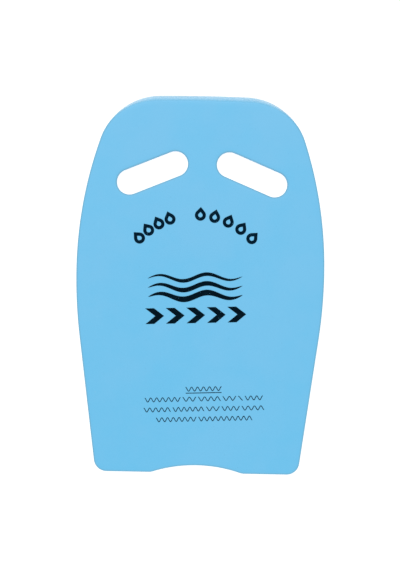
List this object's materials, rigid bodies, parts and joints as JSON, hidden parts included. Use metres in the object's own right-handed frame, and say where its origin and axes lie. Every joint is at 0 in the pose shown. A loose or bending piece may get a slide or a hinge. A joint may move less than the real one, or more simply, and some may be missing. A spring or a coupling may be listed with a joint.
{
  "type": "kickboard float",
  "caption": "Flat foam swimming kickboard with a raked nose, bulging sides, a shallow hollow in the tail, slanted grip slots and printed wave marks.",
  "frame": {"origin": "middle of the back face, which the board lies on", "axes": "+Y towards the nose, +Z out of the printed front face, +X towards the right-hand grip slot"},
  "size_m": [0.2824, 0.43, 0.0302],
  "materials": {
    "eva_foam": "closed-cell foam with a fine satin skin, light sky blue",
    "bond_adhesive": "dried contact adhesive, a shade darker than the foam",
    "navy_ink": "screen-printed ink, satin, blue-black",
    "charcoal_ink": "screen-printed ink, satin, charcoal"
  },
  "bodies": {
    "root": {"back_sheet": "eva_foam", "front_sheet": "eva_foam", "bond_film": "bond_adhesive", "arch_drop_1": "navy_ink", "arch_drop_2": "navy_ink", "arch_drop_3": "navy_ink", "arch_drop_4": "navy_ink", "arch_drop_5": "navy_ink", "arch_drop_6": "navy_ink", "arch_drop_7": "navy_ink", "arch_drop_8": "navy_ink", "arch_drop_9": "navy_ink", "notice_heading": "navy_ink", "notice_rule": "navy_ink", "notice_line_1_word_1": "navy_ink", "notice_line_1_word_2": "navy_ink", "notice_line_1_word_3": "navy_ink", "notice_line_1_word_4": "navy_ink", "notice_line_1_word_5": "navy_ink", "notice_line_1_word_6": "navy_ink", "notice_line_2_word_1": "navy_ink", "notice_line_2_word_2": "navy_ink", "notice_line_2_word_3": "navy_ink", "notice_line_2_word_4": "navy_ink", "notice_line_2_word_5": "navy_ink", "notice_line_3_word_1": "navy_ink", "notice_line_3_word_2": "navy_ink", "wave_band_lower": "charcoal_ink", "wave_band_middle": "charcoal_ink", "wave_band_upper": "charcoal_ink", "chevron_1": "charcoal_ink", "chevron_2": "charcoal_ink", "chevron_3": "charcoal_ink", "chevron_4": "charcoal_ink", "chevron_5": "charcoal_ink"}
  },
  "joints": []
}
